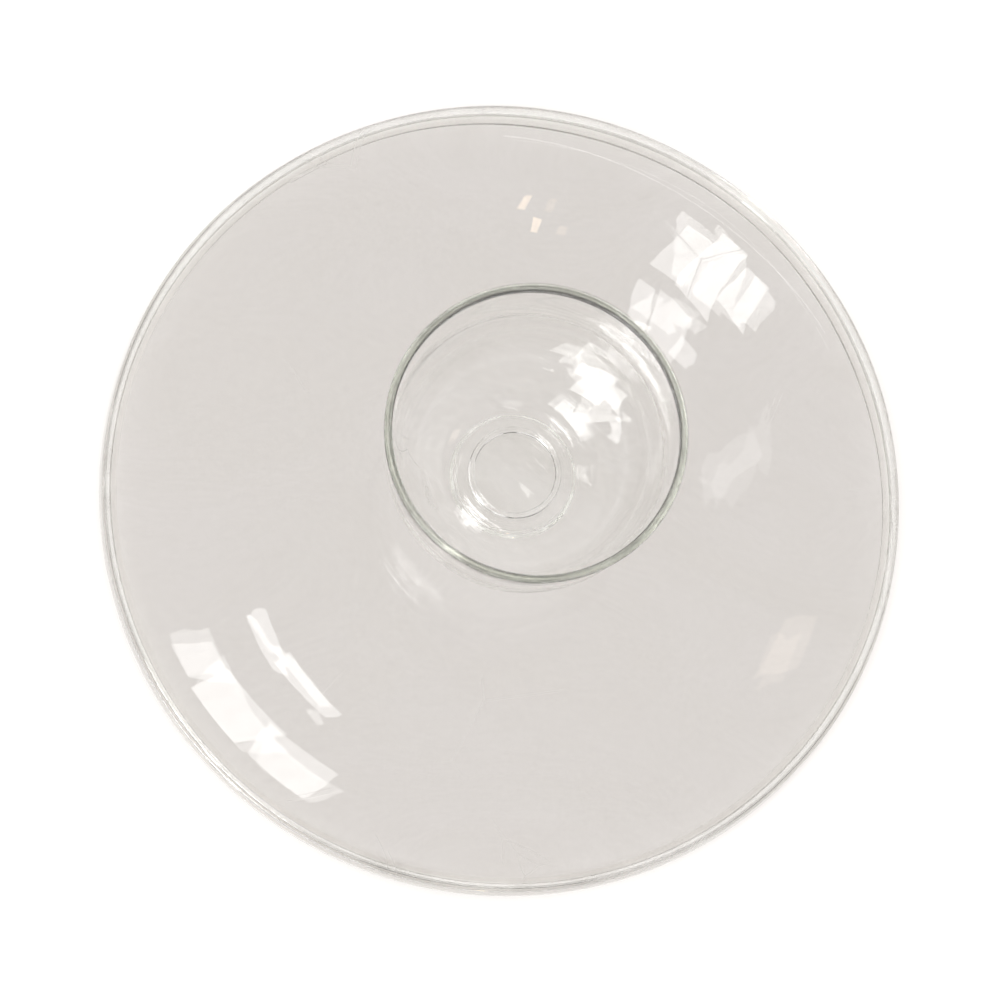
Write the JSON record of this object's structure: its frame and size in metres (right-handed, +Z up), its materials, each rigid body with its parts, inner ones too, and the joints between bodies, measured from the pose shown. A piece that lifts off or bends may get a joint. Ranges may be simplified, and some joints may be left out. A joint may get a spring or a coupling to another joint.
{
  "type": "bell cover",
  "caption": "Wide, shallow clear blown-glass bell cover on a rolled rim, with a short neck and an open cup-shaped handle.",
  "frame": {"origin": "middle of the circle that the cover stands on, at the standing face", "axes": "+Z up along the turning axis, from the standing rim to the handle; +X and +Y are any two square directions"},
  "size_m": [0.28, 0.28, 0.1137],
  "materials": {
    "dome_glass": "polished",
    "rim_glass": "polished",
    "handle_glass": "polished"
  },
  "bodies": {
    "root": {"dome_shell": "dome_glass", "rim_roll": "rim_glass", "neck_collar": "handle_glass", "handle_cup": "handle_glass", "handle_lip": "handle_glass", "pontil_ring": "handle_glass"}
  },
  "joints": []
}
